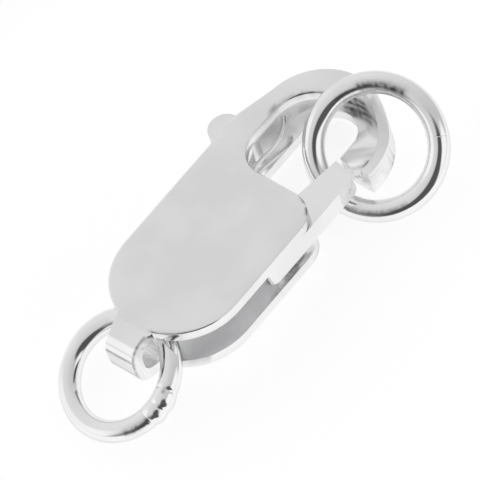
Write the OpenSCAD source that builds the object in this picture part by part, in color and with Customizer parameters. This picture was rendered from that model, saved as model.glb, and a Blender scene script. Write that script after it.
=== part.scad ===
// Lobster clasp folded from sheet silver, with a jump ring in its hook and one in its tail loop.
// The clasp's own frame: origin under the axis of the tail loop, X across, Y towards the hook,
// Z out of the front face. The resting pose then turns the whole of it a little.

/* [Body sheet] */
// Width of the flat body
plate_w = 6; // [5:0.1:8]
// Length of the body from the tail loop to the mouth of the hook
plate_len = 8.5; // [7.5:0.1:11]
// Thickness across both faces of the folded body
body_t = 2.45; // [2.3:0.05:3.2]
// Thickness of the sheet
sheet_t = 0.5; // [0.35:0.01:0.55]
// Radius of the free corner beside the lever
corner_r = 1.4; // [0.8:0.1:1.6]
// Width of the strap that folds round into the tail loop
strap_w = 1.5; // [1.2:0.1:2]
// How far the strap spreads on its left where it runs into the body
neck_left = 0.45; // [0:0.05:0.6]
// How far it spreads there on its right
neck_right = 0.12; // [0:0.02:0.3]
// How far round the tail loop that spread reaches
neck_len = 0.9; // [0.5:0.1:1]
// How square the tail loop is bent, from round to nearly square
fold_square = 2.8; // [2:0.1:3.2]

/* [Hook] */
// Outer radius of the hook's arch
hook_r = 2.78; // [2.6:0.02:3.1]
// Sideways offset of the arch from the middle of the body
hook_x = 0.27; // [0:0.01:0.4]
// Height of the arch's centre above the mouth edge of the body
hook_rise = 3.15; // [3.05:0.05:4]
// Inner radius of the front arch
front_in_r = 1.77; // [1.6:0.01:1.9]
// Sideways offset of the front arch's inner edge
front_in_x = 0.1; // [0:0.01:0.3]
// How far the front arch's inner centre sits below its outer one
front_in_drop = 0.35; // [0.1:0.01:0.5]
// Radius where the front arch springs from the body
root_r = 1.27; // [0.8:0.01:1.4]
// How far past the top of the arch its front sheet reaches
front_end_x = 0.1; // [0:0.01:0.3]
// Direction in which the front arch is cut off, up from the X axis in degrees
front_end_angle = 66; // [60:1:80]
// Thickness of the wall round the outside of the arch
wall_t = 0.42; // [0.3:0.01:0.5]
// Height above the mouth edge at which that wall starts, above the thumb tab
wall_from = 2.05; // [2:0.05:2.4]
// Height above the mouth edge at which the spine starts to lean in towards the arch
spine_from = 1.75; // [1.6:0.05:2]
// Width of the opening through the rear arch
gap_w = 2.2; // [2:0.05:2.4]
// Sideways place of the middle of that opening
gap_x = -0.1; // [-0.2:0.01:0]
// Height of the opening above the mouth edge
gap_len = 5.04; // [4.9:0.01:5.1]
// Height of the hook's tip above the mouth edge, on its outer side
tip_rise = 2.72; // [2.65:0.01:3]
// How much higher the inner corner of the tip is
tip_slant = 0.42; // [0.2:0.01:0.5]
// Sideways distance from the arch's middle at which the rim begins to fall
rim_from = 0.7; // [0.4:0.05:1]
// Height of the rim at the tip
tip_rim_h = 1.25; // [1:0.05:1.5]

/* [Lever] */
// Play between the lever and the sheets on both sides of it
lever_play = 0.05; // [0.03:0.01:0.08]
// Thickness of the lever's sheet
lever_t = 0.4; // [0.3:0.01:0.42]
// Depth of the flange along its outer edge
flange_h = 0.95; // [0.8:0.01:0.96]
// Radius of the flange's rounded corners
flange_round = 0.42; // [0.4:0.01:0.45]
// Height of the gate's end above the mouth edge
gate_rise = 2.32; // [2:0.01:2.35]
// Width of the gate at its end
gate_w = 1.15; // [1:0.01:1.3]
// Width of the gate at the mouth edge
gate_root_w = 1.5; // [1.35:0.01:1.6]
// How much the outer corner of the gate's end is set back
gate_slant = 0.12; // [0.1:0.01:0.4]
// How far the flange reaches below the mouth edge
flange_reach = 3.5; // [3:0.05:4]
// Distance of the pivot from the outer edge of the lever
pivot_in = 1.4; // [1.3:0.01:1.6]
// Distance of the pivot below the mouth edge
pivot_drop = 1.3; // [1.1:0.01:1.5]
// Diameter of the pivot pin
pin_d = 0.5; // [0.4:0.01:0.6]
// Radial play of the lever on the pin
pin_play = 0.03; // [0.02:0.01:0.05]
// Depth of the seats that hold the pin in the two sheets
seat_depth = 0.25; // [0.15:0.01:0.3]
// Outer diameter of the lever's hub
hub_d = 0.96; // [0.9:0.01:1.1]
// Radius of the thumb tab
thumb_r = 0.74; // [0.6:0.01:0.9]
// How far the middle of the thumb tab stands outside the body
thumb_out = 0.27; // [0.1:0.01:0.4]
// Height of the thumb tab above the mouth edge
thumb_rise = 1.23; // [1:0.01:1.3]
// Thickness of the thumb tab
thumb_t = 0.9; // [0.5:0.01:1]
// Width of the arm that carries the thumb tab, at the pivot
arm_w = 1.1; // [0.8:0.05:1.2]
// Width of that arm at the thumb tab
arm_end_w = 0.9; // [0.7:0.05:1]
// How far inside the body's edge the arm turns up to the thumb tab
knee_in = 1.1; // [0.9:0.05:1.3]

/* [Spring] */
// Diameter of the spring's wire
spring_wire = 0.22; // [0.16:0.01:0.26]
// Turns of its coil round the hub
spring_turns = 2; // [1:1:2]
// Play between the spring and what it lies beside
spring_play = 0.04; // [0.02:0.01:0.06]
// Direction from the pivot in which the long leg leaves the coil, in degrees
spring_from = 79; // [60:1:100]
// Direction from the pivot in which the short leg leaves the coil, in degrees
spring_to = 135; // [120:1:150]
// Sideways pull of the long leg under the body
leg_pull_x = -3.75; // [-4:0.05:-3]
// Lengthwise place of that pull below the mouth edge
leg_pull_drop = 0.2; // [0:0.05:0.6]
// Sideways pull of the long leg in the hook
leg_bow_x = -0.6; // [-1:0.05:-0.4]
// Lengthwise place of that pull above the mouth edge
leg_bow_rise = 1.95; // [1.6:0.05:2.2]
// Direction from the arch's middle in which the long leg ends at its wall, in degrees
leg_end = 178; // [170:1:185]
// Height at which the long leg ends
leg_end_z = 1.25; // [0.9:0.05:1.4]

/* [Hook ring] */
// Outer diameter of the ring in the hook
hook_ring_od = 6.2; // [6:0.1:6.6]
// Wire diameter of the ring in the hook
hook_ring_wire = 0.94; // [0.8:0.01:0.96]
// Sideways place of its wire within the arch, from the arch's middle
hook_ring_x = -0.23; // [-0.4:0.01:-0.1]
// Lengthwise place of its wire within the arch, from the arch's middle
hook_ring_y = 0.3; // [0.2:0.01:0.4]
// How far below the front face its wire is there
hook_ring_down = 0.3; // [0.2:0.01:0.4]
// How steeply the ring leans
hook_ring_tilt = 38.6; // [37:0.1:40]
// Direction in which the ring leans
hook_ring_turn = -58.8; // [-61:0.1:-56]
// Direction in the ring's own plane from the wire in the arch to the ring's middle
hook_ring_side = 64.5; // [63:0.1:66]

/* [Tail ring] */
// Outer diameter of the ring in the tail loop
tail_ring_od = 5.68; // [5:0.01:6]
// Wire diameter of the ring in the tail loop
tail_ring_wire = 0.92; // [0.8:0.01:0.95]
// Lengthwise place of its wire within the tail loop
tail_ring_y = 0.84; // [0.8:0.01:0.9]
// Height of its wire there above the middle of the loop
tail_ring_up = 0.13; // [0.1:0.01:0.15]
// How steeply the ring leans
tail_ring_tilt = 23.6; // [22:0.1:25]
// Direction in which the ring leans
tail_ring_turn = -100.6; // [-103:0.1:-98]
// Direction in the ring's own plane from the wire in the loop to the ring's middle
tail_ring_side = 3.6; // [1:0.1:6]
// Direction in the ring's own plane from its middle to the solder lump
solder_at = 90; // [85:1:95]
// Radius of the solder lump on the tail ring
solder_r = 0.58; // [0.5:0.01:0.6]
// How far the lump runs along the wire, in degrees
solder_run = 14; // [6:1:18]

/* [Resting pose] */
// Turn about the X axis that sets it down on a table
rest_turn_x = -3.14; // [-6:0.01:6]
// Turn about the Y axis that sets it down on a table
rest_turn_y = -5.44; // [-8:0.01:8]
// Sideways shift that brings it over the origin
rest_x = -0.672; // [-3:0.001:3]
// Lengthwise shift that brings it over the origin
rest_y = -5.624; // [-8:0.001:0]
// Lift that brings its lowest point onto the table
rest_z = 0.914; // [0:0.001:2]

/* [Hidden] */
$fn = 96;

clear = 0.01;
far = 40;
half_w = plate_w / 2;
inner_z0 = sheet_t;
inner_z1 = body_t - sheet_t;
neck_x = strap_w / 2 + max(neck_left, neck_right);
neck_in = half_w - sqrt(half_w * half_w - neck_x * neck_x) + 0.05;

hook_y = plate_len + hook_rise;
hook_c = [hook_x, hook_y];
front_in_c = [front_in_x, hook_y - front_in_drop];
spine_y = plate_len + spine_from;
gap_r = gap_w / 2;
gap_top_y = plate_len + gap_len - gap_r;
tip_y = plate_len + tip_rise;

lever_x1 = half_w - lever_play;
lever_z1 = inner_z1 - lever_play;
flange_z0 = lever_z1 - flange_h;
pivot = [lever_x1 - pivot_in, plate_len - pivot_drop];
gate_y = plate_len + gate_rise;
thumb = [-half_w - thumb_out, plate_len + thumb_rise];
pin_r = pin_d / 2;
bore_r = pin_r + pin_play;
wall_in_r = hook_r - wall_t;

wire_r = spring_wire / 2;
coil_r = hub_d / 2 + spring_play + wire_r;
coil_z0 = inner_z0 + spring_play + wire_r;
coil_z1 = lever_z1 - lever_t - spring_play - wire_r;
coil_sweep = 360 * spring_turns - (spring_to - spring_from);
leg_pull = [leg_pull_x, plate_len - leg_pull_drop, coil_z0];
leg_bow = [leg_bow_x, plate_len + leg_bow_rise, coil_z0];
leg_tip_r = wall_in_r - spring_play - wire_r;
leg_tip = [hook_x + leg_tip_r * cos(leg_end), hook_y + leg_tip_r * sin(leg_end), leg_end_z];
short_leg = (lever_x1 - lever_t - spring_play - wire_r - pivot[0] - coil_r * cos(spring_to)) / sin(spring_to);

hook_ring_r = (hook_ring_od - hook_ring_wire) / 2;
tail_ring_r = (tail_ring_od - tail_ring_wire) / 2;

function unit(v) = v / norm(v);

// Where a line from point p all but touches the circle of radius r about c, on its left side.
function touch(p, c, r) =
    let (away = p - c, near = r * 0.99, turn = atan2(away[1], away[0]) + 360 - acos(near / norm(away)))
    c + near * [cos(turn), sin(turn)];

module body_outline() {
    translate([0, half_w]) circle(r = half_w);
    translate([-half_w, half_w]) square([plate_w, plate_len - half_w - corner_r]);
    translate([-half_w, plate_len - corner_r]) square([plate_w - corner_r, corner_r]);
    translate([half_w - corner_r, plate_len - corner_r]) circle(r = corner_r);
    intersection() {
        neck_outline();
        translate([-half_w, 0]) square([plate_w, half_w]);
    }
}

// The strap, with the neck by which it spreads into the body.
module neck_outline() {
    steps = 8;
    spread = [for (i = [0 : steps]) let (t = i / steps) [t * t, (neck_len + neck_in) * t - neck_len]];
    polygon(concat([[-strap_w / 2, -body_t]],
                   [for (p = spread) [-strap_w / 2 - neck_left * p[0], p[1]]],
                   [for (i = [steps : -1 : 0]) [strap_w / 2 + neck_right * spread[i][0], spread[i][1]]],
                   [[strap_w / 2, -body_t]]));
}

// Everything inside the outer line of the spine and the arch, drawn in by a given amount.
module arch_outline(inset = 0) {
    left = [-half_w + inset, spine_y];
    r = hook_r - inset;
    translate(hook_c) circle(r = r);
    polygon([[left[0], plate_len - corner_r], left, touch(left, hook_c, r), hook_c,
             [front_in_x, plate_len - corner_r]]);
}

module front_opening() {
    left_x = front_in_c[0] - front_in_r;
    translate(front_in_c) circle(r = front_in_r);
    translate([left_x, plate_len + root_r]) square([far, front_in_c[1] - plate_len - root_r]);
    translate([left_x + root_r, plate_len + root_r]) circle(r = root_r);
    translate([left_x + root_r, plate_len]) square([far, root_r]);
}

// All of the arch that lies clockwise of the cut end of its front sheet.
module beyond_front_end() {
    intersection() {
        translate(hook_c + [front_end_x, hook_r]) rotate(front_end_angle)
            translate([-far, -far]) square([2 * far, far]);
        translate([-far, front_in_c[1]]) square(2 * far);
    }
}

module rear_opening() {
    translate([gap_x, gap_top_y]) circle(r = gap_r);
    translate([gap_x - gap_r, plate_len]) square([gap_w, gap_top_y - plate_len]);
    polygon([[gap_x, plate_len], [gap_x, tip_y + tip_slant], [gap_x + gap_r, tip_y + tip_slant],
             [gap_x + gap_w, tip_y], [far, tip_y], [far, plate_len]]);
}

module front_outline() {
    body_outline();
    difference() {
        arch_outline();
        front_opening();
        beyond_front_end();
    }
}

module rear_outline() {
    body_outline();
    difference() {
        arch_outline();
        rear_opening();
    }
}

module wall_outline() {
    difference() {
        arch_outline();
        arch_outline(wall_t);
        translate([-far, -far]) square([far + hook_x, far + plate_len + wall_from]);
        translate([hook_x, -far]) square([far, far + tip_y]);
    }
}

// The part of the wall that is cut away so that its top falls from the apex to the tip.
module rim_slope() {
    x0 = hook_x + rim_from;
    x1 = hook_x + wall_in_r;
    translate([0, far + plate_len, 0]) rotate([90, 0, 0]) linear_extrude(far)
        polygon([[x0, body_t], [x1, tip_rim_h], [far, tip_rim_h], [far, far], [x0, far]]);
}

// A half loop of radius r, a little squarer than a circle, from the front sheet round to the rear one.
function fold_line(r) =
    let (k = 2 / fold_square)
    [for (a = [0 : 6 : 180]) r * [-pow(abs(sin(a)), k), sign(cos(a)) * pow(abs(cos(a)), k)]];

module tail_fold() {
    inner = fold_line(body_t / 2 - sheet_t);
    last = len(inner) - 1;
    intersection() {
        translate([0, 0, body_t / 2]) rotate([90, 0, 90]) linear_extrude(plate_w, center = true)
            polygon(concat(fold_line(body_t / 2), [for (i = [last : -1 : 0]) inner[i]]));
        translate([0, 0, -body_t / 2]) linear_extrude(2 * body_t) neck_outline();
    }
}

module pin_seats() {
    translate([pivot[0], pivot[1], inner_z0 - seat_depth])
        cylinder(r = bore_r, h = body_t - 2 * (sheet_t - seat_depth));
}

module case() {
    color("silver") rest() difference() {
        union() {
            linear_extrude(sheet_t) rear_outline();
            translate([0, 0, inner_z1]) linear_extrude(sheet_t) front_outline();
            difference() {
                linear_extrude(body_t) wall_outline();
                rim_slope();
            }
            tail_fold();
        }
        pin_seats();
    }
}

module lever_outline() {
    top_x0 = lever_x1 - gate_w;
    root_x0 = lever_x1 - gate_root_w;
    round_x = lever_x1 - flange_round;
    top_y = gate_y - gate_slant - flange_round;
    low_y = plate_len - flange_reach + flange_round;
    polygon([[root_x0, pivot[1]], [root_x0, plate_len], [top_x0, gate_y],
             [round_x, gate_y - gate_slant], [round_x, low_y]]);
    translate([round_x, low_y]) square([flange_round, top_y - low_y]);
    translate([round_x, top_y]) circle(r = flange_round);
    translate([round_x, low_y]) circle(r = flange_round);
    translate(pivot) circle(d = arm_w);
    arm_outline();
}

// The arm's edges run to either side of the line from the pivot over the knee to the thumb tab.
module arm_outline() {
    knee = [-half_w + knee_in, pivot[1] + arm_w / 2];
    end = unit(thumb - knee) * arm_end_w / 2;
    half = arm_w / 2;
    polygon([pivot + [0, half], knee + [half, half], thumb + [end[1], -end[0]],
             thumb - [end[1], -end[0]], knee - [half, half], pivot - [0, half]]);
}

module flange_outline() {
    difference() {
        lever_outline();
        translate([-far, -far]) square([far + lever_x1 - lever_t, 2 * far]);
    }
}

module lever() {
    color("gainsboro") rest() difference() {
        union() {
            translate([0, 0, lever_z1 - lever_t]) linear_extrude(lever_t) lever_outline();
            translate([0, 0, flange_z0]) linear_extrude(flange_h) flange_outline();
            translate([thumb[0], thumb[1], lever_z1 - thumb_t]) cylinder(r = thumb_r, h = thumb_t);
            translate([pivot[0], pivot[1], inner_z0 + lever_play])
                cylinder(d = hub_d, h = lever_z1 - inner_z0 - lever_play);
        }
        translate([pivot[0], pivot[1], 0]) cylinder(r = bore_r, h = body_t);
    }
}

module pivot_pin() {
    z0 = inner_z0 - seat_depth + clear;
    color("darkgray") rest() translate([pivot[0], pivot[1], z0]) cylinder(r = pin_r, h = body_t - 2 * z0);
}

// The coil's centre line after a turn of a degrees clockwise from the long leg.
function coil(a) = [pivot[0] + coil_r * cos(spring_from - a), pivot[1] + coil_r * sin(spring_from - a),
                    coil_z0 + (coil_z1 - coil_z0) * a / coil_sweep];

function long_leg(t) = pow(1 - t, 3) * leg_tip + 3 * pow(1 - t, 2) * t * leg_bow
    + 3 * (1 - t) * pow(t, 2) * leg_pull + pow(t, 3) * coil(0);

// Ring i of a wire's surface along path, in sides points.
function wire_ring(path, i, sides) =
    let (last = len(path) - 1,
         along = unit(path[min(i + 1, last)] - path[max(i - 1, 0)]),
         across = unit(cross(along, [0, 0, 1])),
         over = cross(across, along))
    [for (k = [0 : sides - 1])
        path[i] + wire_r * (cos(360 * k / sides) * across + sin(360 * k / sides) * over)];

module wire_along(path, sides) {
    last = len(path) - 1;
    points = [for (i = [0 : last]) each wire_ring(path, i, sides)];
    skin = [for (i = [0 : last - 1]) for (k = [0 : sides - 1])
        let (a = i * sides + k, b = i * sides + (k + 1) % sides)
        each [[a, b, b + sides], [a, b + sides, a + sides]]];
    ends = [[for (k = [sides - 1 : -1 : 0]) k], [for (k = [0 : sides - 1]) last * sides + k]];
    polyhedron(points, concat(skin, ends));
}

module spring() {
    steps = 14;
    turn_step = 15;
    end = coil(coil_sweep);
    path = concat([for (i = [0 : steps - 1]) long_leg(i / steps)],
                  [for (a = [0 : turn_step : coil_sweep - turn_step / 2]) coil(a)],
                  [end, end + short_leg * [sin(spring_to), -cos(spring_to), 0]]);
    color("lightgray") rest() wire_along(path, 8);
}

module ring_of_wire(r, wire) {
    rotate_extrude() translate([r, 0]) circle(d = wire);
}

module hook_ring() {
    color("silver") rest() translate([hook_x + hook_ring_x, hook_y + hook_ring_y, body_t - hook_ring_down])
        rotate([0, hook_ring_tilt, hook_ring_turn]) rotate(hook_ring_side)
        translate([hook_ring_r, 0, 0]) ring_of_wire(hook_ring_r, hook_ring_wire);
}

module tail_ring() {
    color("silver") rest() translate([0, tail_ring_y, body_t / 2 + tail_ring_up])
        rotate([0, tail_ring_tilt, tail_ring_turn]) rotate(tail_ring_side)
        translate([tail_ring_r, 0, 0]) {
            ring_of_wire(tail_ring_r, tail_ring_wire);
            for (a = [-solder_run / 2, solder_run / 2])
                rotate(solder_at - tail_ring_side + a) translate([tail_ring_r, 0, 0]) sphere(r = solder_r);
        }
}

// Sets the clasp down as it lies by itself, on the hook ring and on its back.
module rest() {
    translate([rest_x, rest_y, rest_z]) rotate([rest_turn_x, rest_turn_y, 0]) children();
}

case();
lever();
pivot_pin();
spring();
hook_ring();
tail_ring();
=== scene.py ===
from math import atan2, cos, degrees, exp, hypot, pi, radians, sin

import bmesh
import bpy
from mathutils import Matrix, Vector, kdtree, noise


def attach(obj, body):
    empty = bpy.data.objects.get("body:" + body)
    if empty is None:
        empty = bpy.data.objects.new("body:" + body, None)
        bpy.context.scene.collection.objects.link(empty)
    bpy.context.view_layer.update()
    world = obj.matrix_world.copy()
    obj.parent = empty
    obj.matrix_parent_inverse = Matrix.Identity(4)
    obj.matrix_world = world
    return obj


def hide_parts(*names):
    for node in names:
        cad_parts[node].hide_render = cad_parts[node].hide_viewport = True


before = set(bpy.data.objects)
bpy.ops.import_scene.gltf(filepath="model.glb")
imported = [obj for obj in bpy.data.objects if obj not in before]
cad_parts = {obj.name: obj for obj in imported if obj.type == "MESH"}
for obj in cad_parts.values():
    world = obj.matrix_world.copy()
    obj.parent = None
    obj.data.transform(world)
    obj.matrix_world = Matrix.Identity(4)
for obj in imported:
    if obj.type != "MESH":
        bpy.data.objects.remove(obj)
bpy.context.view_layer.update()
mm = 0.001


# The clasp's own frame, in millimetres, lies turned a little on the table.
rest = {"turnX": -3.14, "turnY": -5.44, "shift": (-0.672, -5.624, 0.914)}
clasp = (Matrix.Scale(mm, 4) @ Matrix.Translation(rest["shift"])
         @ Matrix.Rotation(radians(rest["turnY"]), 4, "Y") @ Matrix.Rotation(radians(rest["turnX"]), 4, "X"))
unclasp = clasp.inverted()


camera = {
    "right": (0.7581, 0.6161, -0.2140),   # the picture's directions in the clasp's frame
    "up": (-0.4203, 0.7124, 0.5620),
    "corner": (0.62, -1.0, 2.45),         # this point of the clasp ...
    "at": (130, 350),                     # ... is at this point of the picture
    "pxPerMm": 25.0, "picture": 480,
    "distance": 260.0, "sensor": 36.0,    # in millimetres
    "near": 0.01, "far": 10,              # in metres
}


def makeCamera(c):
    right = Vector(c["right"]).normalized()
    back = right.cross(Vector(c["up"])).normalized()
    up = back.cross(right)
    half = c["picture"] / 2
    middle = (Vector(c["corner"]) + right * (half - c["at"][0]) / c["pxPerMm"]
              + up * (c["at"][1] - half) / c["pxPerMm"])
    data = bpy.data.cameras.new("camera")
    data.sensor_width = c["sensor"]
    data.lens = c["sensor"] * c["distance"] / (c["picture"] / c["pxPerMm"])
    data.clip_start, data.clip_end = c["near"], c["far"]
    eye = bpy.data.objects.new("camera", data)
    bpy.context.collection.objects.link(eye)
    turn = (clasp.to_3x3() @ Matrix((right, up, back)).transposed()).normalized()
    eye.matrix_world = Matrix.Translation(clasp @ (middle + back * c["distance"])) @ turn.to_4x4()
    bpy.context.scene.camera = eye


makeCamera(camera)
print("camera set")


class Val:
    # wraps one socket, so that shader maths reads as arithmetic
    def __init__(self, mat, socket):
        self.mat, self.socket = mat, socket

    def maths(self, operation, a, b):
        return self.mat.node("ShaderNodeMath", {"operation": operation}, {0: a, 1: b})

    def __add__(self, other):
        return self.maths("ADD", self, other)

    def __radd__(self, other):
        return self.maths("ADD", other, self)

    def __sub__(self, other):
        return self.maths("SUBTRACT", self, other)

    def __rsub__(self, other):
        return self.maths("SUBTRACT", other, self)

    def __mul__(self, other):
        return self.maths("MULTIPLY", self, other)

    def __rmul__(self, other):
        return self.maths("MULTIPLY", other, self)


class Mat:
    # a material or a world, and the one way in which nodes are added to it
    def __init__(self, name, world=None):
        self.data = world or bpy.data.materials.new(name)
        self.data.use_nodes = True
        self.tree = self.data.node_tree
        self.shader = self.tree.nodes.get("Principled BSDF") or self.tree.nodes.get("Background")

    def node(self, kind, settings, values, output=0):
        made = self.tree.nodes.new(kind)
        for key, value in settings.items():
            setattr(made, key, value)
        for key, value in values.items():
            self.feed(made.inputs[key], value)
        return Val(self, made.outputs[output])

    def feed(self, socket, value):
        if isinstance(value, Val):
            self.tree.links.new(value.socket, socket)
        else:
            socket.default_value = value

    def set(self, **values):
        for key, value in values.items():
            self.feed(self.shader.inputs[key.replace("_", " ")], value)

    def range(self, value, low, high, start=0.0, end=1.0):
        return self.node("ShaderNodeMapRange", {"interpolation_type": "SMOOTHSTEP"},
                         {0: value, 1: low, 2: high, 3: start, 4: end})

    def mix(self, share, first, second):
        # from the first colour to the second
        return self.node("ShaderNodeMix", {"data_type": "RGBA"}, {0: share, 6: first, 7: second}, output=2)

    def place(self, turn=(0, 0, 0), stretch=(1, 1, 1)):
        # object coordinates in millimetres, turned and stretched for a pattern
        at = self.node("ShaderNodeTexCoord", {}, {}, output=3)
        return self.node("ShaderNodeMapping", {}, {0: at, 2: turn, 3: tuple(s / mm for s in stretch)})

    def towards(self, at, way):
        # how much a direction agrees with another
        return self.node("ShaderNodeVectorMath", {"operation": "DOT_PRODUCT"}, {0: at, 1: way}, output=1)

    def grain(self, at, size, detail=2.0, rough=0.5):
        return self.node("ShaderNodeTexNoise", {},
                         {"Vector": at, "Scale": size, "Detail": detail, "Roughness": rough})


def silver(name, look):
    # polished metal: slow clouds, fine grain and brushed scratches, darkened where the mesh carries painted
    # shade and tarnish
    m = Mat(name)
    cloud = m.grain(m.place(), look["cloudSize"], detail=3.0)
    grain = m.grain(m.place(), look["grainSize"], detail=4.0, rough=0.6)
    scratch = m.grain(m.place(look["brushTurn"], (look["brushThin"], 1, 1)), look["brushSize"])
    tone = m.mix(m.range(cloud, low=0.35, high=0.65), (*look["dark"], 1), (*look["light"], 1))
    # the mesh's painted shade and tarnish, from the marks laid on it
    shadeAndStain = m.node("ShaderNodeAttribute", {"attribute_name": "shadeAndTarnish"}, {}, output=2)
    tone = m.mix(shadeAndStain, tone, (*look["shadeAndTarnish"], 1))
    height = (cloud * look["wave"] + grain * look["pits"] + scratch * look["brush"]
              + shadeAndStain * grain * look["crust"])
    m.set(Base_Color=tone, Metallic=look["metal"], Specular_Tint=(*look["edge"], 1),
          Roughness=(look["rough"] + look["shadeAndStainRough"] * shadeAndStain + look["roughSpread"] * (cloud - 0.5)
                     + look["brushRough"] * (scratch - 0.5)),
          Normal=m.node("ShaderNodeBump", {}, {"Strength": 1.0, "Distance": mm, "Height": height}))
    return m.data


# the near-black colour here is painted along the marks: painted shade and painted reflection, with some
# tarnish
polish = {
    "dark": (0.88, 0.88, 0.885), "light": (0.93, 0.93, 0.93), "shadeAndTarnish": (0.09, 0.09, 0.095), "metal": 1.0,
    "edge": (0.8, 0.8, 0.8),                  # how much light a grazing view gives back
    "rough": 0.12, "roughSpread": 0.06, "shadeAndStainRough": 0.25,
    "cloudSize": 0.35, "wave": 0.015,         # slow waves left by folding and polishing, 1/mm and mm
    "grainSize": 7.0, "pits": 0.0006, "crust": 0.006,
    "brushTurn": (0, 0, radians(12)), "brushThin": 14.0, "brushSize": 0.6,   # scratches along one way
    "brush": 0.0006, "brushRough": 0.05,
}
# a lighter silver for the faces inside the case, the tail loop and the lever's rough faces: painted light
# that lifts the shade in there, on a rougher finish
inside = dict(polish, dark=(0.985, 0.985, 0.99), light=(0.995, 0.995, 0.995), rough=0.42, roughSpread=0.06,
              cloudSize=0.8, wave=0.002, pits=0.001)
satin = dict(polish, rough=0.5, wave=0.01)
mottled = dict(inside, rough=0.7, pits=0.015)
slotFloor = dict(inside, dark=(0.975, 0.975, 0.98), light=(0.99, 0.99, 0.99), rough=0.12, wave=0.01)
drawn = dict(polish, rough=0.09, roughSpread=0.03, cloudSize=0.5, wave=0.004, brushThin=1.0, brush=0.0002)
steel = dict(polish, dark=(0.86, 0.86, 0.865), light=(0.95, 0.95, 0.95), rough=0.2,
             cloudSize=2.0, wave=0.001)

sheetSilver = silver("sheetSilver", polish)
satinSilver = silver("satinSilver", satin)
hookSilver = silver("hookSilver", inside)
slotSilver = silver("slotSilver", slotFloor)
mottledSilver = silver("mottledSilver", mottled)
wireSilver = silver("wireSilver", drawn)
springSteel = silver("springSteel", steel)
print("materials made")


def dress(obj, *mats):
    # a new mesh has no materials, and clearing it would undo its faces' choice of one
    if obj.data.materials:
        obj.data.materials.clear()
    for m in mats:
        obj.data.materials.append(m)


def addPiece(name, mesh, node, carrier, slot, *mats):
    piece = bpy.data.objects.new(name, mesh)
    bpy.context.collection.objects.link(piece)
    for face in mesh.polygons:
        face.use_smooth = True
    dress(piece, *mats)
    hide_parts(node)
    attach(piece, carrier)
    flats = piece.modifiers.new("flats", "WEIGHTED_NORMAL")   # flat faces stay flat beside their soft edges
    flats.keep_sharp = True


def toMesh(name, bm, sharp=35):
    # a finished bmesh in the clasp's frame becomes a mesh in its place on the table
    bm.transform(clasp)
    mesh = bpy.data.meshes.new(name)
    bm.to_mesh(mesh)
    bm.free()
    mesh.set_sharp_from_angle(angle=radians(sharp))
    return mesh


def copyNode(name, weld=0.0005, level=0.4):
    # a node's shape as a clean bmesh in the clasp's frame: points nearer than a distance are welded,
    # and faces level with each other within some degrees are joined
    bm = bmesh.new()
    bm.from_mesh(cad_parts[name].data)
    bm.transform(unclasp)
    bmesh.ops.remove_doubles(bm, verts=bm.verts, dist=weld)
    bmesh.ops.dissolve_limit(bm, angle_limit=radians(level), verts=bm.verts, edges=bm.edges)
    return bm


def roundOver(bm, width, segments, wanted=lambda e: True, bend=40):
    # softens the wanted edges whose faces bend by more degrees than this
    edges = [e for e in bm.edges if e.calc_face_angle(0) > radians(bend) and wanted(e)]
    bmesh.ops.bevel(bm, geom=edges, offset=width, affect="EDGES", segments=segments, profile=0.5,
                    material=-1, clamp_overlap=True)


def arc(middle, radius, start, end, z, step=0.6):
    count = max(2, int(abs(end - start) / step))
    turns = [radians(start + (end - start) * i / count) for i in range(count + 1)]
    return [Vector((middle[0] + radius * cos(a), middle[1] + radius * sin(a), z)) for a in turns]


fold = {
    "middle": 1.225, "radius": 1.21,      # height of the tail fold's middle, and how far out its marks run
    "square": 2.8,                        # 2 for a round fold, more for a squarer one
    "half": 0.715,                        # the strap's half width
    "left": 0.45, "right": 0.12,          # how far it spreads at the neck
    "spreadFrom": -0.9, "spreadTo": 0.3,  # and between which heights
}
hook = {
    "middle": (0.27, 11.65), "inside": 2.36, "outside": 2.78,   # the wall round the arch
    "rimTop": 2.45, "rimLow": 1.25,       # the tip's rim slopes between these heights
    "slopeFrom": 0.97, "slope": 0.723,
}


def foldPoint(x, turn):
    # a point on the tail fold, which turns from the front at 0 to the back at 180 degrees
    side, up = sin(radians(turn)), cos(radians(turn))
    power = 2 / fold["square"]
    return Vector((x, -fold["radius"] * abs(side) ** power,
                   fold["middle"] + fold["radius"] * (1 if up > 0 else -1) * abs(up) ** power))


def strapSide(side, start, end, step=1.5):
    # along the strap's edge, round the fold
    line = [foldPoint(0, start + step * i) for i in range(int((end - start) / step) + 1)]
    for at in line:
        spread = max(0, (at.y - fold["spreadFrom"]) / (fold["spreadTo"] - fold["spreadFrom"])) ** 2
        at.x = side * fold["half"] + spread * (fold["right"] if side > 0 else -fold["left"])
    return line


def rimLine(radius, start, end, drop):
    # along the sloping rim of the hook's tip, a little below its top
    line = arc(hook["middle"], radius, start, end, 0)
    for at in line:
        height = hook["rimTop"] - hook["slope"] * (at.x - hook["slopeFrom"])
        at.z = max(hook["rimLow"], min(hook["rimTop"], height)) - drop
    return line


def wallLine(start, end, z, radius=hook["inside"]):
    # along the inner face of the hook's wall
    return arc(hook["middle"], radius, start, end, z)


def through(*points):
    return [Vector(p) for p in points]


def along(start, step, count):
    # evenly spaced points on a straight line
    return [Vector([a + b * i for a, b in zip(start, step)]) for i in range(count)]


def treeOf(points):
    tree = kdtree.KDTree(len(points))
    for i, at in enumerate(points):
        tree.insert(at, i)
    tree.balance()
    return tree


patches = {"level": 0.8, "spread": 0.6, "fineness": 6, "reach": 0.4}   # how uneven the painted shade and tarnish are


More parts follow.
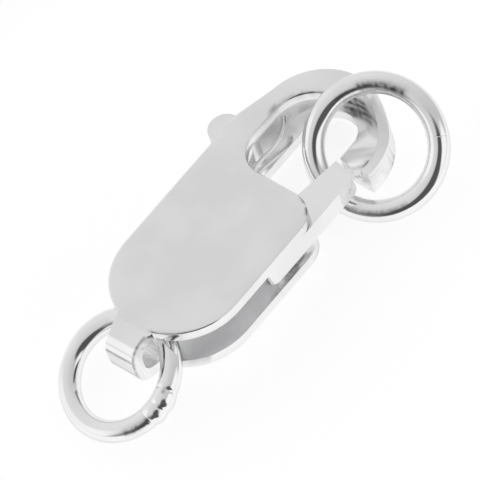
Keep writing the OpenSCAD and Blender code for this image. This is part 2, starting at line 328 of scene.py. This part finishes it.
def shadeAndStain(bm, marks):
    # each vertex keeps how dark it is painted, with painted shade and tarnish: the marks are lines of points
    # with a width and a strength
    spots = [(at, width, strength) for line, width, strength in marks for at in line]
    tree = treeOf([spot[0] for spot in spots])
    layer = bm.verts.layers.float.new("shadeAndTarnish")
    for v in bm.verts:
        patchy = patches["level"] + patches["spread"] * noise.noise(v.co * patches["fineness"])
        for _, i, away in tree.find_range(v.co, patches["reach"]):
            _, width, strength = spots[i]
            v[layer] = max(v[layer], min(1, strength * exp(-(away / width) ** 2) * patchy))


# dark lines painted into the case's silver: painted shade and painted reflection along its edges, inside the
# hook and at the tip, with some tarnish
bodyMarks = [    # line, width, strength
    (arc((0, 3), 2.965, -77, -48, 2.415), 0.045, 0.75),      # the lower edge of the front
    (arc((0, 3), 2.965, -48, -34, 2.415), 0.045, 0.4),
    (strapSide(1, 5, 112), 0.05, 0.9),                       # and on round the strap
    (strapSide(1, 112, 124), 0.04, 0.4),
    ([foldPoint(0.72 - 0.03 * i, 76) for i in range(49)], 0.03, 0.5),        # across its bend
    (arc((0.1, 11.3), 1.8, 104, 141, 2.42), 0.05, 1.0),      # inner edge of the arch
    (arc((0.1, 11.3), 1.82, 150, 178, 2.42), 0.09, 0.45),
    (through((-1.74, 11.15, 2.44), (-1.72, 11.3, 2.44), (-1.75, 11.4, 2.44)), 0.13, 0.7),
    (through((-1.62, 11.75, 2.44), (-1.55, 11.95, 2.44)), 0.12, 0.4),
    (arc((1.37, 9.77), 1.3, 180, 232, 2.42), 0.05, 0.3),     # the arch's foot
    (arc((1.6, 7.1), 1.37, 60, 74, 2.42), 0.06, 0.75),       # the free corner, beside the gate
    (arc((1.6, 7.1), 1.37, 36, 48, 2.42), 0.06, 0.8),
    (arc((0, 3), 2.98, -84, -36, 0.485), 0.035, 0.8),        # inner edge of the rear sheet
    (wallLine(82, 108, 0.75), 0.17, 1.0),                    # inside the top of the arch
    (wallLine(84, 110, 1.15), 0.22, 0.9),
    (wallLine(50, 82, 0.53, 2.34), 0.05, 0.8),
    (through((-0.1, 13.85, 0.5), (0.05, 13.75, 0.5), (0.18, 13.65, 0.5), (0.32, 13.82, 0.5),
             (0.12, 13.92, 0.5), (0.45, 13.93, 0.5)), 0.11, 1.0),
    (rimLine(2.72, -8, 62, 0.0), 0.035, 0.45),               # the tip's rim and the lines below it
    (rimLine(hook["outside"], -8, 75, 0.27), 0.04, 0.16),
    (rimLine(hook["outside"], -8, 40, 0.5), 0.05, 0.1),
    (along((1.7, 11.3, 0.47), (0.05, -0.015, 0), 9), 0.05, 0.8),             # the tip's end
    (through((2.15, 11.22, 0.5), (2.24, 11.3, 0.52), (2.33, 11.42, 0.52)), 0.05, 0.6),
    (through((2.5, 11.2, 0.8), (2.42, 11.2, 0.95), (2.7, 11.2, 0.6), (2.62, 11.22, 1.1)), 0.08, 0.4),
]
bodyDents = [((2.6, 11.15, 0.7), 0.4, 0.07, 5.0)]   # the tip's lumpy end: middle, reach, depth, fineness

body = {
    "front": 2.45, "sheet": 0.5,          # height of the front face and thickness of the sheet
    "frontRound": 0.08, "frontSteps": 4,  # the front face's soft edge
    "rimRound": 0.11, "rimSteps": 4,      # the sloping rim round the hook's tip
    "rimFaces": (0.586, 0, 0.81), "rimFrom": 11.3,
    "round": 0.05, "steps": 2,            # every other edge
    "grid": 0.14,                         # spacing of the lines laid over the front before it is shaped
    "fallWide": 0.6, "fall": 0.03,        # how the front falls towards its edges
    "fallFrom": 2.2,                      # from none at the strap to all of it at this height
    "waveSize": 0.35, "wave": 0.012,
    "slotTo": 8.6,                        # inner faces below this are the slot's, above it the hook's
    "foldInside": 0.95,                   # within this of the fold's middle they are the tail loop's
    "play": 0.02,                         # by how much a height may miss the face that it is tested for
    "rimRows": (0.12, 0.2, 0.27, 0.34, 0.42, 0.5),   # rows cut round the wall of the tip, down from its rim
    "rimRowsFrom": 11.0,
    "wallLean": 0.05, "wallOut": 0.3,     # how little that wall leans, and how much it looks towards +X
    "floorPlay": 0.05,                    # as play, for the floor
    "outlineStep": 0.05,                  # spacing of the points along the front's edge
    # boxes with a finer mesh for the marks there: low and high corner, spacing
    "fine": [((-1.3, -1.3, 1.0), (1.0, 0.15, 2.5), 0.06), ((1.5, 7.3, 1.9), (3.05, 8.55, 2.5), 0.06),
             ((1.5, 10.9, -0.05), (3.1, 11.7, 1.5), 0.08), ((-0.8, 13.3, 0.52), (1.95, 14.1, 2.0), 0.1),
             ((-3.2, 8.6, 0.45), (3.2, 14.2, 0.55), 0.12)],
}
tiny = 0.001     # heights that differ by less count as the same
sameWay = 0.99   # a normal that agrees more than this with a direction faces that way


def cut(bm, wanted, at, way):
    # a line across the wanted faces, where a plane through a point meets them
    faces = [f for f in bm.faces if wanted(f)]
    parts = set(faces) | set(e for f in faces for e in f.edges) | set(v for f in faces for v in f.verts)
    bmesh.ops.bisect_plane(bm, geom=list(parts), dist=1e-5, plane_co=at, plane_no=way)


def sliceUp(bm, wanted, axis, low, high, spacing):
    way = [1 if k == axis else 0 for k in range(3)]
    at = low + spacing / 2
    while at < high:
        cut(bm, wanted, [at * k for k in way], way)
        at += spacing


def layGrid(bm, spacing, wanted):
    # cuts the wanted faces along lines parallel to X and to Y
    for axis in (0, 1):
        spots = [v.co[axis] for v in bm.verts]
        sliceUp(bm, wanted, axis, min(spots), max(spots), spacing)


def dice(bm, low, high, spacing):
    # a finer mesh inside a box, so that marks and dents there have points to hold them
    def inBox(face):
        return all(low[k] < face.calc_center_median()[k] < high[k] for k in range(3))

    for axis in (0, 1, 2):
        sliceUp(bm, inBox, axis, low[axis], high[axis], spacing)


def dent(bm, places):
    # pushes the surface in and out unevenly round each place
    bm.normal_update()
    for middle, reach, depth, fine in places:
        for v in bm.verts:
            near = exp(-((v.co - Vector(middle)).length / reach) ** 2)
            if near > 0.01:
                v.co += v.normal * depth * near * noise.noise(v.co * fine)


def onFront(face):
    return face.calc_center_median().z > body["front"] - tiny and face.normal.z > sameWay


def chooseSilver(bm, b):
    # which silver each face shows: 0 the sheet's, 1 the slot's, 2 the hook's, 3 the front's; the slot's and
    # the hook's are lighter, as painted light inside the case
    for face in bm.faces:
        at = face.calc_center_median()
        if at.y < -b["play"]:
            face.material_index = 2 if hypot(at.y, at.z - fold["middle"]) < b["foldInside"] else 0
        elif b["sheet"] - b["play"] < at.z < b["front"] - b["sheet"] + b["play"]:
            face.material_index = 1 if at.y < b["slotTo"] else 2
        elif onFront(face):
            face.material_index = 3


def frontOutline(bm, b):
    # points along the flat front's edge, without the strap's
    points = []
    for e in bm.edges:
        if len(e.link_faces) != 2 or onFront(e.link_faces[0]) == onFront(e.link_faces[1]):
            continue
        if max(v.co.y for v in e.verts) <= b["play"] / 2:
            continue
        a, c = (v.co.xy for v in e.verts)
        steps = 1 + int((a - c).length / b["outlineStep"])
        points += [a.lerp(c, (i + 0.5) / steps).to_3d() for i in range(steps)]
    return points


def fallAway(bm, b, outline):
    # the front sinks towards its edges and waves a little
    for v in bm.verts:
        if v.co.z > b["front"] - b["frontRound"] - tiny:
            near = outline.find(Vector((v.co.x, v.co.y, 0)))[2] if v.co.z >= b["front"] - tiny else 0
            fall = b["fall"] * max(0, 1 - near / b["fallWide"]) ** 2
            wave = 0.5 + 0.5 * noise.noise(v.co * b["waveSize"])
            fall += b["wave"] * wave * min(1, near / b["fallWide"])
            v.co.z -= fall * max(0, min(1, v.co.y / b["fallFrom"])) ** 2


def makeBody(b):
    def onRim(e):
        slopes = any(f.normal.dot(Vector(b["rimFaces"])) > sameWay for f in e.link_faces)
        return slopes and min(v.co.y for v in e.verts) > b["rimFrom"]

    def onTipWall(f):
        upright = abs(f.normal.z) < b["wallLean"] and f.normal.x > b["wallOut"]
        return upright and f.calc_center_median().y > b["rimRowsFrom"]

    def onFloor(f):
        return abs(f.calc_center_median().z - b["sheet"]) < b["floorPlay"]

    def onFrontEdge(e):
        return min(v.co.z for v in e.verts) > b["front"] - tiny

    bm = copyNode("case")
    roundOver(bm, b["frontRound"], b["frontSteps"], onFrontEdge)
    roundOver(bm, b["rimRound"], b["rimSteps"], onRim)
    roundOver(bm, b["round"], b["steps"])
    chooseSilver(bm, b)
    outline = treeOf(frontOutline(bm, b))
    layGrid(bm, b["grid"], onFront)
    for row in b["rimRows"]:
        cut(bm, onTipWall, rimLine(hook["outside"], 0, 1, row)[0], b["rimFaces"])
    cut(bm, onFloor, (0, b["slotTo"], 0), (0, 1, 0))
    for low, high, spacing in b["fine"]:
        dice(bm, low, high, spacing)
    dent(bm, bodyDents)
    shadeAndStain(bm, bodyMarks)
    fallAway(bm, b, outline)
    addPiece("claspBody", toMesh("claspBody", bm), "case", "clasp_body", "sheet_silver",
             sheetSilver, slotSilver, hookSilver, satinSilver)


# dark lines painted on the lever: painted shade and painted reflection on the gate's flange and end
leverMarks = [
    (through((2.95, 10.15, 1.5), (2.95, 10.1, 1.4)), 0.05, 0.4),
    (along((2.93, 10.45, 1.8), (0, -0.03, -0.05), 12), 0.05, 0.15),
    (along((1.8, 10.84, 1.72), (0.05, -0.015, 0), 16), 0.12, 0.22),   # the gate's end
]
leverDents = [((2.85, 10.45, 1.4), 0.35, 0.05, 6.0)]
lever = {
    "round": 0.05, "steps": 3, "fine": ((1.7, 9.9, 0.9), (3.0, 10.9, 1.95), 0.07),
    "roughFrom": 9.6, "roughLean": 0.6,      # upright faces beyond this height are left rough
}


def makeLever(b):
    bm = copyNode("lever")
    roundOver(bm, b["round"], b["steps"])
    cut(bm, lambda f: True, (0, b["roughFrom"], 0), (0, 1, 0))
    for face in bm.faces:
        upright = abs(face.normal.z) < b["roughLean"]
        face.material_index = 1 if upright and face.calc_center_median().y > b["roughFrom"] else 0
    dice(bm, *b["fine"])
    dent(bm, leverDents)
    shadeAndStain(bm, leverMarks)
    addPiece("sprungLever", toMesh("sprungLever", bm), "lever", "lever", "sheet_silver",
             sheetSilver, mottledSilver)


def wireRing(r):
    # a ring of wire about the Z axis, pushed in and out along its surface by the marks it carries
    bm = bmesh.new()
    bmesh.ops.create_circle(bm, segments=r["sides"], radius=r["wire"] / 2,
                            matrix=Matrix.Translation((r["radius"], 0, 0)) @ Matrix.Rotation(pi / 2, 4, "X"))
    bmesh.ops.spin(bm, geom=bm.verts[:] + bm.edges[:], cent=(0, 0, 0), axis=(0, 0, 1), angle=2 * pi,
                   steps=r["steps"], use_merge=True, use_duplicate=False)
    bmesh.ops.recalc_face_normals(bm, faces=bm.faces)
    # dark bands painted into the wire's colour: painted reflection and painted shade, with some tarnish
    shadeAndStainBands = []
    for start, end, side, wide, strength in r["shadeAndStainBands"]:
        turns = [radians(start + i) for i in range(end - start)]
        lean, out = sin(radians(side)) * r["wire"] / 2, r["radius"] + cos(radians(side)) * r["wire"] / 2
        shadeAndStainBands.append(([Vector((cos(a) * out, sin(a) * out, lean)) for a in turns], wide, strength))
    shadeAndStain(bm, shadeAndStainBands)
    for v in bm.verts:
        around = degrees(atan2(v.co.y, v.co.x)) % 360
        core = Vector((cos(radians(around)), sin(radians(around)), 0)) * r["radius"]
        out = (v.co - core).normalized()
        push = r["uneven"] * noise.noise(v.co * r["unevenSize"])
        for at, wide, side, spread, height in r["marks"]:
            away = (around - at + 180) % 360 - 180
            face = Vector((cos(radians(at)) * cos(radians(side)), sin(radians(at)) * cos(radians(side)),
                           sin(radians(side))))
            facing = max(0, 0.5 + 0.5 * out.dot(face)) ** spread
            push += height * exp(-(away / wide) ** 2) * facing
        v.co += out * push
    bm.transform(Matrix.Translation(r["hangs"]) @ Matrix.Rotation(radians(r["turn"]), 4, "Z")
                 @ Matrix.Rotation(radians(r["tilt"]), 4, "Y") @ Matrix.Rotation(radians(r["side"]), 4, "Z")
                 @ Matrix.Translation((r["radius"], 0, 0)))
    return bm


hookRing = {
    "radius": 2.63, "wire": 0.94, "sides": 32, "steps": 720, "uneven": 0.006, "unevenSize": 0.8,
    "hangs": (0.04, 11.95, 2.15), "tilt": 38.6, "turn": -58.8, "side": 64.5,
    "marks": [(34.5, 0.45, 0, 0, -0.006)],  # the closed cut: angle, width, side, spread, height
    # dark bands painted on the wire, standing in for dark reflections, with some tarnish: from, to, side,
    # width, strength
    "shadeAndStainBands": [(86, 128, 104, 0.19, 1.0), (124, 152, 112, 0.1, 0.7), (95, 150, 148, 0.05, 0.6),
               (262, 325, 82, 0.1, 0.8), (274, 296, 138, 0.06, 0.4)],
}
tailRing = {
    "radius": 2.38, "wire": 0.92, "sides": 40, "steps": 720, "uneven": 0.01, "unevenSize": 0.8,
    "hangs": (0, 0.84, 1.355), "tilt": 23.6, "turn": -100.6, "side": 3.6,
    # the solder's body, lumps and the dips between
    "marks": [
        (88, 14.0, -50, 0.5, 0.06),
        (96, 5.0, -30, 0.5, 0.045), (81, 3.8, -30, 0.5, 0.045),
        (105.5, 1.8, 10, 1, -0.035), (88.5, 2.0, 20, 1, -0.035), (74, 1.4, 0, 0.5, -0.035),
    ],
    # dark bands painted round the solder: painted shade in its dips, with some tarnish
    "shadeAndStainBands": [(102, 107, 70, 0.06, 0.7), (86, 92, 40, 0.05, 0.5), (50, 74, 50, 0.13, 0.8)],
}


def makeRings():
    addPiece("hookRing", toMesh("hookRing", wireRing(hookRing)), "hook_ring", "clasp_body",
             "wire_silver", wireSilver)
    addPiece("tailRing", toMesh("tailRing", wireRing(tailRing), sharp=60), "tail_ring", "clasp_body",
             "wire_silver", wireSilver)


coil = {
    "wire": 0.22, "radius": 0.63, "turns": 2, "low": 0.65, "high": 1.35,
    "pivot": (1.55, 7.2), "from": 79, "to": 135,
    "tip": (-1.9385, 11.7271, 1.25), "bow": (-0.6, 10.45, 0.65), "pull": (-3.75, 8.3, 0.65),
    "shortLeg": 0.81,
    "legSteps": 40, "coilStep": 6,        # points along the leg, and degrees between points on the coil
    "roundness": 4, "sharp": 50,          # of the wire, and edges sharper than this many degrees stay sharp
}


def springPath(c):
    sweep = 360 * c["turns"] - (c["to"] - c["from"])

    def onCoil(a):
        turned = radians(c["from"] - a)
        return Vector((c["pivot"][0] + c["radius"] * cos(turned), c["pivot"][1] + c["radius"] * sin(turned),
                       c["low"] + (c["high"] - c["low"]) * a / sweep))

    tip, bow, pull, root = Vector(c["tip"]), Vector(c["bow"]), Vector(c["pull"]), onCoil(0)
    leg = [tip * (1 - t) ** 3 + bow * 3 * (1 - t) ** 2 * t + pull * 3 * (1 - t) * t ** 2 + root * t ** 3
           for t in (i / c["legSteps"] for i in range(c["legSteps"]))]
    end = onCoil(sweep)
    to = radians(c["to"])
    return (leg + [onCoil(a) for a in range(0, int(sweep), c["coilStep"])]
            + [end, end + c["shortLeg"] * Vector((sin(to), -cos(to), 0))])


def makeSpring(c):
    line = bpy.data.curves.new("torsionSpring", "CURVE")
    line.dimensions = "3D"
    line.bevel_depth, line.bevel_resolution = c["wire"] / 2 * mm, c["roundness"]
    line.use_fill_caps = True
    points = springPath(c)
    spline = line.splines.new("POLY")
    spline.points.add(len(points) - 1)
    for p, at in zip(spline.points, points):
        p.co = (*(clasp @ at), 1)
    holder = bpy.data.objects.new("springLine", line)
    mesh = bpy.data.meshes.new_from_object(holder)
    bpy.data.objects.remove(holder)
    mesh.set_sharp_from_angle(angle=radians(c["sharp"]))
    addPiece("torsionSpring", mesh, "spring", "clasp_body", "steel", springSteel)


makeBody(body)
makeLever(lever)
makeRings()
makeSpring(coil)
dress(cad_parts["pivot_pin"], springSteel)
print("pieces made")


table = {
    "half": 0.5, "base": 0.3, "rough": 0.9,
    "glow": 0.8, "farGlow": 0.55,               # the table is lit from below, most around the clasp
    "glowFrom": 14, "glowTo": 34,                # where that fades, in millimetres from the middle
}


def makeTable(s):
    bm = bmesh.new()
    bmesh.ops.create_grid(bm, x_segments=1, y_segments=1, size=s["half"])
    mesh = bpy.data.meshes.new("lightTable")
    bm.to_mesh(mesh)
    bm.free()
    top = bpy.data.objects.new("lightTable", mesh)
    bpy.context.collection.objects.link(top)
    m = Mat("lightTable")
    far = m.node("ShaderNodeVectorMath", {"operation": "LENGTH"}, {0: m.place()}, output=1)
    glow = m.range(far, s["glowFrom"], s["glowTo"], s["glow"], s["farGlow"])
    m.set(Base_Color=(s["base"],) * 3 + (1,), Roughness=s["rough"],
          Emission_Color=m.mix(glow, (0, 0, 0, 1), (1, 1, 1, 1)), Emission_Strength=1.0)
    dress(top, m.data)


studio = {
    "ceiling": 0.765,                            # grey of the tent that the flat faces mirror
    "folds": 0.05, "foldSize": 2.2,              # its uneven cloth
    "lean": 0.16, "leanFrom": 0.57,              # how much it brightens towards -X
    # patches of the tent: direction and height in degrees, radius, soft edge, brightness, share
    "patches": [
        (12, 14, 28, 16, 1.0, 1.0),              # bright sides
        (-132, 8, 28, 16, 0.98, 1.0),
        (-33, 45, 19, 14, 0.09, 1.0),            # the opening where the camera stands, taller than wide
        (-42, 17, 29, 12, 0.09, 1.0),
        (-80, 12, 15, 14, 0.1, 0.6),
    ],
}


def makeStudio(s):
    world = bpy.data.worlds.new("studio")
    bpy.context.scene.world = world
    w = Mat("studio", world)
    at = w.node("ShaderNodeTexCoord", {}, {})
    west = w.towards(at, (-1, 0, 0))
    bright = (s["ceiling"] + (w.grain(at, s["foldSize"], detail=1.0) - 0.5) * (2 * s["folds"])
              + (west - s["leanFrom"]) * s["lean"])
    for azimuth, height, radius, soft, value, share in s["patches"]:
        a, h = radians(azimuth), radians(height)
        way = (cos(a) * cos(h), sin(a) * cos(h), sin(h))
        patch = w.range(w.towards(at, way), cos(radians(radius + soft / 2)), cos(radians(radius - soft / 2)),
                        end=share)
        bright = bright * (1 - patch) + value * patch
    w.set(Strength=bright, Color=(1, 1, 1, 1))


makeTable(table)
makeStudio(studio)
bpy.context.scene.view_settings.view_transform = "Standard"
bounces = 16   # light crosses the slot in many hops
bpy.context.scene.cycles.max_bounces = bpy.context.scene.cycles.glossy_bounces = bounces
print("table and light set")
